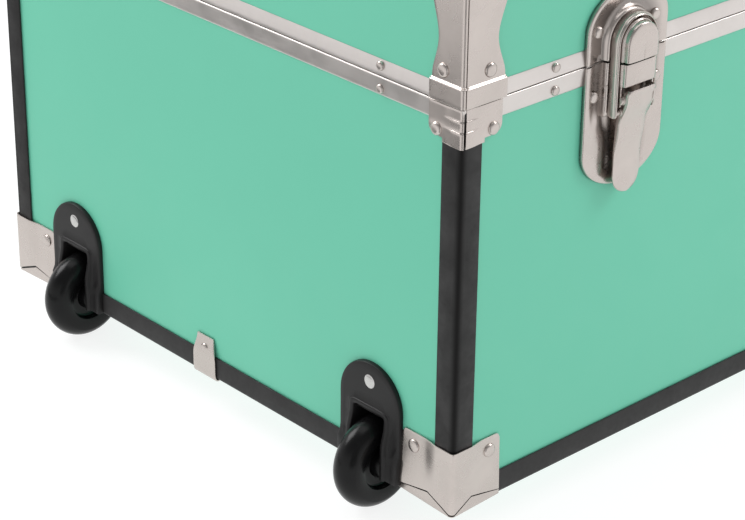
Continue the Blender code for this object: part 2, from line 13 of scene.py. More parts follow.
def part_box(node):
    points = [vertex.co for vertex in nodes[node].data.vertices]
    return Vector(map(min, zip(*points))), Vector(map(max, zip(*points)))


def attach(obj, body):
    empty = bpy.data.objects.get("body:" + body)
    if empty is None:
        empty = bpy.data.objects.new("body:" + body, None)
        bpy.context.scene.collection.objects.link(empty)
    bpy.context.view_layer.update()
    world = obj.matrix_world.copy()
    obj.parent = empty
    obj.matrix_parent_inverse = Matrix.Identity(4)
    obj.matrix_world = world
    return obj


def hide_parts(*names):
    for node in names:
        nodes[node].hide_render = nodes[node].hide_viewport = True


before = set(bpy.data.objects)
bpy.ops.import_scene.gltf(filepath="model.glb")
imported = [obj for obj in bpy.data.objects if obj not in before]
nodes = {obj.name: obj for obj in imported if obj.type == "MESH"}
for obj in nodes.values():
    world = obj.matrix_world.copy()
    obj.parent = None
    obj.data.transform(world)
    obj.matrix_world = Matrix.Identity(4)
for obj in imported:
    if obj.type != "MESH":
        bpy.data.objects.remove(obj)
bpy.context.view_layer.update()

# The axes, as indexes into a point
X, Y, Z = 0, 1, 2


def corner_of(node, end):
    """A CAD node's lowest (0) or highest (1) corner, in millimetres."""
    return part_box(node)[end] * 1000


def halfway(node, axis):
    """The middle of a CAD node along one axis."""
    return (corner_of(node, 0)[axis] + corner_of(node, 1)[axis]) / 2


def paint(made, finish):
    """Gives an object the material of a finish."""
    made.data.materials.clear()
    made.data.materials.append(finish[0])


# The box's planes
LEFT, FRONT, UNDER = corner_of("base_front_panel", 0)
RIGHT = corner_of("base_front_panel", 1).x
BACK = corner_of("base_back_panel", 1).y
TOP = corner_of("lid_top_panel", 1).z
PARTING = (corner_of("lid_corner_front_wheel", 0).z + corner_of("base_corner_front_wheel", 1).z) / 2
BASE_HIGH = PARTING - UNDER
LID_HIGH = TOP - PARTING
MIDDLE_Y = (FRONT + BACK) / 2

CORNERS = {
    "front_wheel": (-1, -1),
    "front_handle": (1, -1),
    "back_wheel": (-1, 1),
    "back_handle": (1, 1),
}
X_FACE = {-1: LEFT, 1: RIGHT}
Y_FACE = {-1: FRONT, 1: BACK}
END, LONG = -1, 1

BINDING_WIDE = 13.2
BAND_LOW, BAND_HIGH = 11.0, 9.0
FOOT = {END: 21.6, LONG: 27.6}
SEAM = 0.36
SLOT_HALF, WELL_TOP = 12.3, 34.3
PARTING_GAP = 0.6
# The latch's two pins, as (out, rise)
PIVOT, LINK_PIN = (10.5, -21.2), (8.8, -28.3)


# ---- shapes
def ease(value, start, end):
    """0 before start, 1 after end, and a smooth rise between them."""
    part = min(1.0, max(0.0, (value - start) / (end - start)))
    return part * part * (3 - 2 * part)


def between(keys, value):
    """A smooth line through (place, value) keys, level at each key."""
    for (a, low), (b, high) in zip(keys, keys[1:]):
        if value <= b:
            return low + (high - low) * ease(value, a, b)
    return keys[-1][1]


def spread(start, end, count):
    """Evenly spaced numbers from start to end."""
    return [start + (end - start) * step / (count - 1) for step in range(count)]


def arc(centre, radii, start, end, steps):
    """Points on an ellipse's arc, from one angle to another in degrees."""
    turns = [math.radians(angle) for angle in spread(start, end, steps + 1)]
    return [(centre[0] + radii[0] * math.cos(t), centre[1] + radii[1] * math.sin(t)) for t in turns]


def full_turn(steps):
    """The angles of a full turn, evenly spaced."""
    return [2 * math.pi * step / steps for step in range(steps)]


def facing(point, normal):
    """The placement of a part whose own Z points along the normal."""
    turn = Vector(normal).to_track_quat("Z", "Y").to_matrix().to_4x4()
    return Matrix.Translation(Vector(point)) @ turn


class Shape:
    """Points and faces in millimetres, which build() turns into one object."""

    def __init__(self):
        self.points = []
        self.faces = []

    def grid(self, rows, loop=False, closed=False):
        """A skin over rows of points. loop joins each row's ends, closed joins the last row to the first."""
        first, count = len(self.points), len(rows[0])
        for row in rows:
            self.points += [Vector(point) for point in row]
        for step in range(len(rows) if closed else len(rows) - 1):
            here, there = first + step * count, first + (step + 1) % len(rows) * count
            for index in range(count if loop else count - 1):
                after = (index + 1) % count
                self.faces.append((here + index, here + after, there + after, there + index))
        return self

    def bar(self, rows):
        """A solid bar through rows of points."""
        first, count = len(self.points), len(rows[0])
        self.grid(rows, loop=True)
        for start in (first, len(self.points) - count):
            self.faces.append(tuple(range(start, start + count)))
        return self

    def lathe(self, profile, place, steps=32, closed=False):
        """A turned shape from (radius, distance along its own Z) pairs."""
        rows = []
        for r, along in profile:
            rows.append([place @ Vector((r * math.cos(t), r * math.sin(t), along)) for t in full_turn(steps)])
        return self.grid(rows, loop=True, closed=closed)

    def hoop(self, profile, centre, steps):
        """A closed ring turned round a line along Y, from (radius, distance along Y) pairs."""
        rows = []
        for r, along in profile:
            around = [(r * math.cos(t), r * math.sin(t)) for t in full_turn(steps)]
            rows.append([(centre.x + x, centre.y + along, centre.z + z) for x, z in around])
        return self.grid(rows, loop=True, closed=True)

    def rivet(self, point, normal, radius, high, sink=0.8):
        """A domed rivet head, closed below."""
        profile = [(0, high), (0.32, 0.985), (0.6, 0.9), (0.8, 0.72), (0.93, 0.46), (1.0, 0.12)]
        turned = [(radius * part, high * (share if part else 1)) for part, share in profile]
        return self.lathe(turned + [(radius, -sink), (0, -sink)], facing(point, normal), 28)

    def rivet_on(self, side, along, high, out, radius, rise):
        """A rivet head on a side of the box."""
        return self.rivet(on_side(side, along, high, out), NORMALS[side], radius, rise)

    def pin(self, start, end, radius, edge):
        """A round pin with softened ends."""
        start, end = Vector(start), Vector(end)
        length = (end - start).length
        profile = [(0, 0), (radius - edge, 0), (radius, edge), (radius, length - edge)]
        profile += [(radius - edge, length), (0, length)]
        return self.lathe(profile, facing(start, end - start), 24)

    def slab(self, low, high):
        """A box between two corners."""
        outline = [(low[0], low[1]), (high[0], low[1]), (high[0], high[1]), (low[0], high[1])]
        return self.bar([[(x, y, z) for x, y in outline] for z in (low[2], high[2])])

    def build(self, name, finish, body, replaces=(), thick=0, outward=None, bevel=0):
        """The finished piece, riding on its body. thick gives a sheet its thickness, inwards. A piece named
        after a CAD node replaces it."""
        if name in nodes:
            replaces = [name]
        mesh = bpy.data.meshes.new(name)
        work = bmesh.new()
        corners = [work.verts.new(point * 0.001) for point in self.points]
        for face in self.faces:
            work.faces.new([corners[index] for index in face])
        bmesh.ops.remove_doubles(work, verts=work.verts, dist=0.000004)
        bmesh.ops.dissolve_degenerate(work, edges=work.edges, dist=0.000002)
        bmesh.ops.recalc_face_normals(work, faces=work.faces)
        if outward:
            lean = sum((face.normal * face.calc_area() for face in work.faces), Vector())
            if lean.dot(Vector(outward)) < 0:
                bmesh.ops.reverse_faces(work, faces=work.faces)
        work.to_mesh(mesh)
        work.free()
        made = bpy.data.objects.new(name, mesh)
        bpy.context.collection.objects.link(made)
        if thick:
            sheet = made.modifiers.new("thickness", "SOLIDIFY")
            sheet.thickness = thick * 0.001
            sheet.offset = -1
        if bevel:
            soften(made, bevel)
        if thick or bevel:
            bpy.context.view_layer.update()
            final = bpy.data.meshes.new_from_object(made.evaluated_get(bpy.context.evaluated_depsgraph_get()))
            made.modifiers.clear()
            made.data = final
            bpy.data.meshes.remove(mesh)
            final.name = name
        made.data.shade_smooth()
        made.data.set_sharp_from_angle(angle=math.radians(38))
        paint(made, finish)
        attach(made, body)
        if replaces:
            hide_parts(*replaces)
        return made


def soften(made, width, steps=2):
    """Rounds an object's sharp edges."""
    edge = made.modifiers.new("soft_edges", "BEVEL")
    edge.width = width * 0.001
    edge.segments = steps
    edge.limit_method = "ANGLE"
    edge.angle_limit = math.radians(38)
    edge.use_clamp_overlap = True


NORMALS = {"front": (0, -1, 0), "back": (0, 1, 0), "wheel_end": (-1, 0, 0), "handle_end": (1, 0, 0)}
FACES = {"front": FRONT, "back": BACK, "wheel_end": LEFT, "handle_end": RIGHT}


def on_side(side, along, high, out):
    """A point by a side of the box: along it, over the underside and out from its face."""
    x, y, _ = NORMALS[side]
    face = FACES[side] + (x + y) * out
    return Vector((face, along, UNDER + high) if x else (along, face, UNDER + high))


def side_of(corner, half):
    """The name of a corner's end side or long side."""
    sx, sy = CORNERS[corner]
    if half == END:
        return "wheel_end" if sx < 0 else "handle_end"
    return "front" if sy < 0 else "back"


def inward(corner, u, v, z):
    """A point from its distances in from a corner's end face and long face."""
    sx, sy = CORNERS[corner]
    return Vector((X_FACE[sx] - sx * u, Y_FACE[sy] - sy * v, z))


def away(corner, up=0):
    """The level direction out of the box at a corner, tipped up by a share."""
    return Vector((*CORNERS[corner], up))


def wrapped(corner, half, along, high, out, bend):
    """A point of a sheet bent round an upright edge. Along runs over the sheet from the edge's middle, and a
    negative along lies past the edge, on the other side."""
    if along < 0:
        return wrapped(corner, -half, -along, high, out, bend)
    quarter, centre = bend * math.pi / 4, bend - out
    if along < quarter:
        turn = math.pi / 4 + along / bend
        near, level = centre - bend * math.cos(turn), centre - bend * math.sin(turn)
    else:
        near, level = centre + along - quarter, -out
    u, v = (level, near) if half == END else (near, level)
    return inward(corner, u, v, UNDER + high)


def reach(width, out, bend):
    """How far along a bent sheet a point lies that is a width in from the edge of the box."""
    return width + bend * math.pi / 4 - bend + out


def swept(place):
    """A section carried round the whole box, mitred at its corners. place gives its points at a corner."""
    rows = [place(corner) for corner in ("front_wheel", "front_handle", "back_handle", "back_wheel")]
    return Shape().grid(rows, loop=True, closed=True)


def band(profile):
    """A band round the box from pairs of distance out and height."""
    return swept(lambda corner: [inward(corner, -out, -out, UNDER + high) for out, high in profile])


# ---- materials
def fill(node, **values):
    """Puts plain values in a node's sockets, whose names are given with _ for a space."""
    for socket, value in values.items():
        node.inputs[socket.replace("_", " ")].default_value = value
    return node


class Look:
    """A procedural material on a Principled shader, patterned in the object's own coordinates."""

    def __init__(self, name, colour, roughness, metallic=0.0, **sockets):
        self.material = bpy.data.materials.new(name)
        self.material.use_nodes = True
        self.tree = self.material.node_tree
        self.shader = self.tree.nodes["Principled BSDF"]
        fill(self.shader, Base_Color=(*colour, 1), Roughness=roughness, Metallic=metallic, **sockets)
        self.place = self.tree.nodes.new("ShaderNodeTexCoord").outputs["Object"]

    def node(self, kind, **values):
        return fill(self.tree.nodes.new(f"ShaderNode{kind}"), **values)

    def link(self, output, socket):
        self.tree.links.new(output, socket)

    def stretched(self, scale):
        """The object's coordinates, scaled alike or by axis."""
        mapping = self.node("Mapping", Scale=scale if isinstance(scale, tuple) else (scale,) * 3)
        self.link(self.place, mapping.inputs["Vector"])
        return mapping.outputs["Vector"]

    def noise(self, scale, detail=3.0, rough=0.5, warp=0.0):
        """Cloudy noise, or streaky noise with a scale for each axis."""
        node = self.node("TexNoise", Scale=1.0, Detail=detail, Roughness=rough, Distortion=warp)
        self.link(self.stretched(scale), node.inputs["Vector"])
        return node.outputs["Fac"]

    def pebbles(self, scale):
        """Rounded cells, for a leather or moulded grain."""
        node = self.node("TexVoronoi", Scale=scale)
        node.feature = "SMOOTH_F1"
        self.link(self.place, node.inputs["Vector"])
        return node.outputs["Distance"]

    def mixed(self, operation, *values):
        """A number from others: outputs are linked and plain numbers are set."""
        node = self.node("Math")
        node.operation = operation
        for value, socket in zip(values, node.inputs):
            if isinstance(value, (int, float)):
                socket.default_value = value
            else:
                self.link(value, socket)
        return node.outputs["Value"]

    def axes(self):
        """The object's own X, Y and Z, in millimetres."""
        node = self.node("SeparateXYZ")
        self.link(self.stretched(1000), node.inputs["Vector"])
        return node.outputs

    def range(self, value, low=0, high=1, start=0.3, end=0.7):
        """A pattern's values brought to between low and high."""
        node = self.node("MapRange", From_Min=start, From_Max=end, To_Min=low, To_Max=high)
        self.link(value, node.inputs["Value"])
        return node.outputs["Result"]

    def tint(self, value, colour, dark, bright):
        """The base colour, made lighter or darker between two shares by a pattern."""
        node = self.node("Mix")
        node.data_type = "RGBA"
        fill(node, A=(*scaled(colour, dark), 1), B=(*scaled(colour, bright), 1))
        self.link(value, node.inputs["Factor"])
        self.link(node.outputs["Result"], self.shader.inputs["Base Color"])

    def rough(self, value, low, high):
        """The roughness, between two values by a pattern."""
        self.link(self.range(value, low, high), self.shader.inputs["Roughness"])

    def relief(self, *layers):
        """Bumps, each a pattern, a strength and a depth in millimetres. Returns the finished material."""
        before = None
        for value, strength, depth in layers:
            node = self.node("Bump", Strength=strength, Distance=depth * 0.001)
            self.link(value, node.inputs["Height"])
            if before:
                self.link(before, node.inputs["Normal"])
            before = node.outputs["Normal"]
        self.link(before, self.shader.inputs["Normal"])
        return self.material


def scaled(colour, part):
    """A colour made lighter or darker."""
    return tuple(min(1.0, channel * part) for channel in colour)


def mint_vinyl():
    colour = (0.142, 0.560, 0.392)
    look = Look("mint_vinyl", colour, 0.45, Specular_IOR_Level=0.42)
    look.tint(look.range(look.noise(7)), colour, 0.985, 1.02)
    look.rough(look.noise(40, 4), 0.42, 0.50)
    return look.relief((look.pebbles(1500), 0.10, 0.05), (look.noise(14, 2), 0.04, 1.2))


def black_vinyl(name="black_vinyl", painted_edge_shade=False):
    """Grained black vinyl. If asked, painted shade darkens it round an upright edge of the box, standing in
    for the dark reflection there, and its specular level drops there too.
    """
    colour = (0.025, 0.0242, 0.0244)
    look = Look(name, colour, 0.5, Specular_IOR_Level=0.25)
    patches = look.range(look.noise(60, 4))
    look.tint(patches, colour, 0.86, 1.16)
    if painted_edge_shade:
        inside = []
        for value, low, high in zip(look.axes(), (LEFT, FRONT), (RIGHT, BACK)):
            off_middle = look.mixed("ABSOLUTE", look.mixed("SUBTRACT", value, (low + high) / 2))
            inside.append(look.mixed("SUBTRACT", (high - low) / 2 + 1.5, off_middle))
        # Painted shade: the colour darkens within about 4 mm of an upright edge of the box, standing in for
        # the dark reflection along that edge
        off_edge = look.range(look.mixed("MAXIMUM", *inside), start=1.0, end=4.4)
        look.tint(look.mixed("MULTIPLY", off_edge, patches), colour, 0.45, 1.16)
        look.link(look.range(off_edge, 0.08, 0.25, 0.0, 1.0), look.shader.inputs["Specular IOR Level"])
    look.rough(look.noise(300), 0.44, 0.56)
    return look.relief((look.pebbles(1900), 0.28, 0.07), (look.noise(35, 2), 0.10, 0.5))


def brushed(name, colour, roughness, scale, sunk=0):
    """Plated sheet metal, brushed along the axes that have the smaller scale. Given sunk, painted shade
    darkens its colour in the hollows, up to sunk millimetres out of the front face."""
    look = Look(name, colour, roughness, 1.0)
    streaks = look.noise(scale, 2, 0.6)
    smudge = look.noise(45, 4, 0.6, 0.4)
    smudge_and_painted_shade = look.range(smudge, 0.85, 1)
    # Painted shade: the colour darkens in the hollows, where the face lies less than sunk millimetres out of
    # the front
    if sunk:
        out = look.mixed("SUBTRACT", FRONT, look.axes()["Y"])
        smudge_and_painted_shade = look.mixed("MULTIPLY", smudge_and_painted_shade, look.range(out, 0.0, 1.0, sunk * 0.25, sunk))
    look.tint(smudge_and_painted_shade, colour, 0.36, 1.05)
    look.rough(smudge, roughness - 0.05, roughness + 0.07)
    return look.relief((streaks, 0.06, 0.03), (look.noise(70), 0.02, 0.25))


def moulded(name, colour, low, high, grain, shine):
    """Moulded plastic with a fine grain and slight unevenness."""
    look = Look(name, colour, low, Specular_IOR_Level=shine)
    cloud = look.noise(50, 4)
    look.tint(look.range(cloud), colour, 0.85, 1.2)
    look.rough(cloud, low, high)
    return look.relief((look.pebbles(1700), grain, 0.05), (look.noise(90, 2), 0.08, 0.15))


def paper_lining():
    colour = (0.60, 0.58, 0.54)
    look = Look("lining_paper", colour, 0.8, Specular_IOR_Level=0.2)
    look.tint(look.range(look.noise(120, 5, 0.7)), colour, 0.93, 1.04)
    look.rough(look.noise(200), 0.74, 0.88)
    return look.relief((look.noise(900, 4, 0.7), 0.25, 0.06))


# Each finish is a material and its slot, if it has one
PLATE_COLOUR, PLATE_STREAKS = (0.555, 0.500, 0.470), (260, 260, 30)
MINT = mint_vinyl(), None
VINYL = black_vinyl(), "black_vinyl"
# The posts' vinyl, with painted shade along the upright edge
POST_VINYL_SHADED = black_vinyl("post_vinyl_painted_shade", painted_edge_shade=True), "black_vinyl"
NICKEL = brushed("nickel_plate", PLATE_COLOUR, 0.27, PLATE_STREAKS), "nickel_plate"
# The latch plates' nickel, with painted shade in the hollows of their dishes
LATCH_PLATE_SHADED = brushed("latch_plate_painted_shade", PLATE_COLOUR, 0.27, PLATE_STREAKS, sunk=2.6), "nickel_plate"
BAND = brushed("galvanised_band", (0.650, 0.610, 0.588), 0.33, (12, 12, 1400)), "galvanised_band"
PLASTIC = moulded("black_plastic", (0.0105, 0.0098, 0.0102), 0.40, 0.50, 0.22, 0.27), "black_plastic"
TYRE = moulded("wheel_plastic", (0.004, 0.004, 0.0043), 0.20, 0.27, 0.03, 0.21), "wheel_plastic"
STEEL = brushed("axle_steel", (0.56, 0.55, 0.54), 0.24, (500, 60, 500)), "axle_steel"
BRASS = brushed("key_brass", (0.70, 0.52, 0.22), 0.26, (400, 60, 400)), None
LINING = paper_lining(), None
# Black plastic for the dark strips behind the metal corners' seams, which stand in for the shade inside them:
# painted shade
SEAM_SHADE = PLASTIC[0], None


# ---- box
def panels():
    """The CAD panels keep their shape and take the vinyl; thin paper linings cover their inner faces."""
    for name in nodes:
        if name.endswith("_panel"):
            paint(nodes[name], MINT)
    inset, sheet, well_margin = 6.3, 1.0, 1.2
    low, high = UNDER + inset, PARTING - 8.0
    lid_low, lid_high = PARTING + 6, TOP - inset
    x0, y0, x1, y1 = LEFT + inset, FRONT + inset, RIGHT - inset, BACK - inset
    over_wells = UNDER + WELL_TOP + well_margin
    base = Shape().slab((x0, y0, low), (x1, y1, low + sheet))
    lid = Shape().slab((x0, y0, lid_high - sheet), (x1, y1, lid_high))
    for shape, bottom, top in ((base, low, high), (lid, lid_low, lid_high)):
        shape.slab((x0, y0, bottom), (x1, y0 + sheet, top))
        shape.slab((x0, y1 - sheet, bottom), (x1, y1, top))
        shape.slab((x1 - sheet, y0, bottom), (x1, y1, top))
    lid.slab((x0, y0, lid_low), (x0 + sheet, y1, lid_high))
    base.slab((x0, y0, over_wells), (x0 + sheet, y1, high))
    edges = [y0]
    for side in ("front", "back"):
        centre = halfway(f"wheel_{side}", Y)
        edges += [centre - SLOT_HALF - well_margin, centre + SLOT_HALF + well_margin]
    edges.append(y1)
    for near, far in zip(edges[::2], edges[1::2]):
        base.slab((x0, near, low), (x0 + sheet, far, over_wells))
    base.build("base_lining", LINING, "base")
    lid.build("lid_lining", LINING, "lid")


def bands():
    """The rolled metal bands that meet at the parting line."""
    edge, out = 0.25, 1.4
    roll, fine_roll = 0.9, 0.6
    low = BASE_HIGH - BAND_LOW
    high = BASE_HIGH - edge
    profile = [(0.15, low), (0.3, low), (0.6, low + 0.4), (0.75, low + 1.0)]
    profile += [(out - 0.55, low + 3.0), (out - 0.25, high - 3.2), (out, high - 1.2)]
    profile += arc((out - roll, high - roll), (roll, roll), 0, 90, 4)
    profile += [(-6.8, high), (-6.8, high + 4.4), (-7.8, high + 4.4), (-7.8, high - 5.6), (-6.8, high - 5.6)]
    profile += [(-6.8, high - 1), (0.15, high - 1)]
    band(profile).build("base_band", BAND, "base", ["base_valance"])
    low = BASE_HIGH + edge
    high = BASE_HIGH + BAND_HIGH
    profile = [(0.15, high), (0.15, low + 1), (-6, low + 1), (-6, low)]
    profile += arc((out - fine_roll, low + fine_roll), (fine_roll, fine_roll), -90, 0, 4)
    profile += [(out - 0.1, low + 2.2), (out - 0.7, high - 2.2), (out - 0.9, high - 0.9)]
    profile += [(out - 1.1, high - 0.2), (0.2, high)]
    band(profile).build("lid_band", BAND, "lid", ["lid_valance"])


def angle_section(thick, bend, wide):
    """A binding's section round the edge at (0, 0), as distances in from the two faces, with round lips."""
    lip, sunk = thick / 2 - 0.05, -0.1
    outer = arc((bend - thick, bend - thick), (bend, bend), 180, 270, 6)
    right = arc((wide - lip, -lip - 0.1), (lip, lip), -90, 90, 4)
    left = arc((-lip - 0.1, wide - lip), (lip, lip), 0, 180, 4)
    return outer + right + [(0.9, sunk), (sunk, sunk), (sunk, 0.9)] + left


def bindings():
    """Black vinyl angles on the base's edges and round the lid's top, which run under the metal corners."""
    section = angle_section(1.5, 2.6, BINDING_WIDE)
    heights = spread(2.0, BASE_HIGH - BAND_LOW - 0.3, 12)
    corner_lap, housing_lap = 3, 1.3
    bars = {}
    for corner in CORNERS:
        rows = [[inward(corner, u, v, UNDER + z) for u, v in section] for z in heights]
        bars[f"post_binding_{corner}"] = rows
    between_wheels = corner_of("bottom_binding_wheel_end", 1).y - MIDDLE_Y + housing_lap
    across = (BACK - FRONT) / 2 - corner_lap
    lengthwise = spread(LEFT + corner_lap, RIGHT - corner_lap, 16)
    stations = {
        "front": lengthwise,
        "back": lengthwise,
        "wheel_end": spread(MIDDLE_Y - between_wheels, MIDDLE_Y + between_wheels, 12),
        "handle_end": spread(MIDDLE_Y - across, MIDDLE_Y + across, 12),
    }
    for side, places in stations.items():
        rows = [[on_side(side, along, b, -a) for a, b in section] for along in places]
        bars[f"bottom_binding_{side}"] = rows
    for name, rows in bars.items():
        # The upright posts take the vinyl with painted shade along their edge
        finish = POST_VINYL_SHADED if name.startswith("post") else VINYL
        Shape().bar(rows).build(name, finish, "base")
    ring = swept(lambda corner: [inward(corner, a, a, TOP - b) for a, b in section])
    ring.build("lid_binding", VINYL, "lid")


# ---- metal corners
def rounded(past, radius):
    """What a rounded corner takes off a sheet's edge, by how far a point is past the rounding's start."""
    past = min(radius, max(0.0, past))
    return radius - math.sqrt(radius ** 2 - past ** 2)


def base_cap_out(along, drop):
    """How far a base cap stands out: two ridges step outwards near the edge and fade along the leaf."""
    near = 1 - ease(along, 7.0, 13.0)
    flat = 2.0 + 0.25 * ease(drop, 10, 14)
    return flat + near * (-0.35 + 0.55 * ease(drop, 6.3, 7.3) + 0.55 * ease(drop, 11.9, 12.9))


def base_corner(corner):
    """A cap under the parting line: two leaves with an open seam, winged over the panels."""
    bend, wing, round_off, seam_at, open_seam = 1.9, 18.7, 5.5, 1.6, 0.8
    drops = [0.7, 2.2, 4.0, 5.6, 6.2, 6.5, 6.8, 7.1, 7.4, 8.5, 10, 11.3, 11.8, 12.1, 12.4, 12.7, 13.0, 14.0]
    drops += [15.0, 16.0, 16.9, 17.7, 18.2, 18.5, wing, wing + 0.02, 19.4, 20.4, 21.2]
    shape = Shape()
    for half, foot, centre in ((END, FOOT[END] * 1.04, 12.4), (LONG, FOOT[LONG] * 0.95, 14.0)):
        first = spread(-seam_at + open_seam, 2.1, 6) if half == END else [seam_at + open_seam]
        inner = first + [3.4, 5, 7, 8.5, 10, 11.5, 13, reach(centre, 2.0, bend)]
        rows = []
        for drop in drops:
            width = centre if drop > wing else foot - rounded(drop - (wing - round_off), round_off)
            places = inner + spread(inner[-1], reach(width, 2.0, bend), 8)[1:]
            high = BASE_HIGH - drop
            rows.append([wrapped(corner, half, a, high, base_cap_out(a, drop), bend) for a in places])
        shape.grid(rows)
    shape.build(f"base_corner_{corner}", NICKEL, "base", thick=0.8, outward=away(corner), bevel=0.3)
    # A dark strip behind the seam stands in for its shade: painted shade
    seam_shade_strip(corner, seam_at, (BASE_HIGH - 18.5, BASE_HIGH - 0.8), 1.3, bend, "base")


def seam_shade_strip(corner, seam_at, heights, out, bend, name, body="base"):
    """A dark strip just under the seam of a metal corner: painted shade, standing in for the shade inside the
    seam.
    """
    low, high = heights
    rows = []
    for z in spread(low, high, 10):
        rows.append([wrapped(corner, LONG, seam_at + a, z, out, bend) for a in spread(-1.2, 1.2, 7)])
    strip = Shape().grid(rows)
    strip.build(f"seam_shade_strip_{name}_{corner}", SEAM_SHADE, body, thick=0.25, outward=away(corner))


def lid_corner_out(rise, half):
    """How far a lid corner stands out: its foot steps out over the band below a bright ridge."""
    return 3.1 - 1.35 * ease(rise, 10.9, 12.0) + (0.5 if half == LONG else 0)


LID_SHAPE = [(0, 1.0), (10, 1.0), (34, 0.775), (62, 1.04), (80, 1.06)]


def lid_corner(corner):
    """A waisted corner on the lid: two leaves with an open seam, and a cap over the top."""
    bend, cap_bend, seam_at = 2.0, 3.0, 1.9
    rises = [0.6, 2.5, 5, 7.5, 9.4, 10.4, 10.8, 11.1, 11.4, 11.7, 12.0, 12.4, 13.2] + spread(15, LID_HIGH, 26)
    shape = Shape()
    for half in (END, LONG):
        rows = []
        for rise in rises:
            width = FOOT[half] * between(LID_SHAPE, rise)
            if rise > 12:
                width -= 0.5 * (1 - ease(rise, 12, 17))
            out = lid_corner_out(rise, half)
            first = spread(-seam_at + SEAM, 3.9, 15) if half == END else [seam_at + SEAM, 3.9, 4.2]
            places = first + spread(4.8, reach(width, out, bend), 12)
            rows.append([wrapped(corner, half, a, BASE_HIGH + rise, out, bend) for a in places])
        shape.grid(rows)
    out, wide, deep = 2.9, FOOT[LONG], FOOT[END] + 5
    snip_at, snip = 0.45, 9

    def over(along):
        """Across and down from a top edge, by the distance along the bent cap."""
        start = cap_bend * math.pi / 2
        if along < start:
            turn = along / cap_bend
            return cap_bend - out - cap_bend * math.cos(turn), cap_bend * (1 - math.sin(turn))
        return cap_bend - out + along - start, 0.0

    steps = [0.0, 1.1, 2.2, 3.3, 4.4, 5.5, 8, 12, 16, 19, 22]
    rows = []
    for a in steps + [wide + 2]:
        u, fall_u = over(a)
        row = []
        for b in steps + [deep + 2]:
            v, fall_v = over(b)
            far = (u / wide - snip_at) / (1 - snip_at) + (v / deep - snip_at) / (1 - snip_at)
            cut = snip * max(0.0, far - 1.25)
            row.append(inward(corner, u - cut, v - cut, TOP + out - min(cap_bend, fall_u + fall_v)))
        rows.append(row)
    shape.grid(rows)
    shape.build(f"lid_corner_{corner}", NICKEL, "lid", thick=0.8, outward=away(corner, 1), bevel=0.3)
    # Dark strips behind the foot's and the leaves' seam stand in for their shade: painted shade
    seam_shade_strip(corner, seam_at, (BASE_HIGH + 0.8, BASE_HIGH + 11.4), 2.5, bend, "lid_foot", "lid")
    seam_shade_strip(corner, seam_at, (BASE_HIGH + 11.5, BASE_HIGH + LID_HIGH - 0.5), 1.25, bend, "lid", "lid")


def flap_line(along, width, peak):
    """Height of the seam between a bottom corner's leaf and the flap folded up from its sole."""
    start, start_high, peak_high, end_drop = 1.6, -1.2, 6.0, 4.0
    if along < peak:
        return start_high + (peak_high - start_high) * max(0.0, along - start) / (peak - start)
    return peak_high - end_drop * (along - peak) / (width - peak)


def bottom_corner(corner):
    """A corner cup: wrapped leaves over the bindings, and a sole whose flaps fold up along dark seams. Dark
    strips behind the seams are painted shade, standing in for the shade inside them.
    """
    bend, out, sole, seam = 2.6, 2.6, 2.6, 0.6
    tall, deep, wide = 37.4, 36.6, 32.4
    corner_round, face_taper, foot_taper = 3.0, 0.7, 1.1
    fold_deep, fold_drop = 1.6, 0.6

    def out_at(along, high):
        flat = ease(along, 11.5, 22.5) * ease(high, 0.0, 25.0)
        return 2.7 - 1.7 * flat

    shape, shade_strip = Shape(), Shape()
    leaf = []
    for half, width, peak, splay in ((END, deep, 18.0, 3.4), (LONG, wide, 14.0, 1.0)):
        last = reach(width, out, bend)
        places = [0.0, 0.8, 1.6, 2.4, 3.4, 5, 7, 9, 11, 13, 14, 15, 16, 17, 18, 19, 20, 22, 25]
        places += spread(28, last, 7)
        columns = []
        for a in places:
            top = tall - rounded(a - (last - corner_round), corner_round)
            low = flap_line(a, last, peak) + seam
            column = []
            for z in spread(0, 1, 30):
                high = low + (top - low) * z
                shift = (a / last) ** 2 * splay * (1 - (high - low) / tall)
                column.append(wrapped(corner, half, a + shift, high, out_at(a, high), bend))
            columns.append(column)
        leaf.append(columns)
        flap, shade_rows = [], []
        for a in [0.8, 1.6, 3, 5, 8, 11, peak - 1, peak, peak + 1, peak + 4, 24, 27, 30, last]:
            line = flap_line(a, last, peak)
            shift = (a / last) ** 2 * splay
            face, foot = 2.45 - face_taper * a / last, 0.4 - sole + foot_taper * a / last
            lean, behind = a + shift * 0.9, face - 0.65
            # Rows of a dark strip behind the flap seam, standing in for its shade: painted shade
            shade_rows.append([wrapped(corner, half, lean, line + z, behind, bend) for z in (1.6, 0, -1.0)])
            column = [wrapped(corner, half, a + shift, z, face, bend) for z in spread(line - seam, foot, 4)]
            for turn in (30, 60, 90):
                angle = math.radians(turn)
                depth = fold_deep * (1 - math.cos(angle))
                drop = fold_drop * math.sin(angle)
                column.append(wrapped(corner, half, a + shift, foot - drop, face - depth, bend))
            column.append(wrapped(corner, half, a + shift, foot - fold_drop, -3.0, bend + 0.5))
            flap.append(column)
        shape.grid(flap)
        shade_strip.grid(shade_rows)
    shape.grid(list(reversed(leaf[0])) + leaf[1][1:])
    shape.build(f"bottom_corner_{corner}", NICKEL, "base", thick=0.7, outward=away(corner), bevel=0.25)
    shade_strip.build(f"flap_shade_strip_{corner}", SEAM_SHADE, "base", thick=0.25, outward=away(corner))
    near, short = -1.6, 0.35
    outline = [(near, near), (wide, near), (wide, deep * short), (wide * short, deep), (near, deep)]
    rows = []
    for depth in (1.9, 2.75):
        lifted = [(u, v, foot_taper * max(0.0, u / wide, v / deep)) for u, v in outline]
        rows.append([inward(corner, u, v, UNDER - depth + lift) for u, v, lift in lifted])
    plate = Shape().bar(rows)
    plate.build(f"sole_{corner}", NICKEL, "base", bevel=0.3)


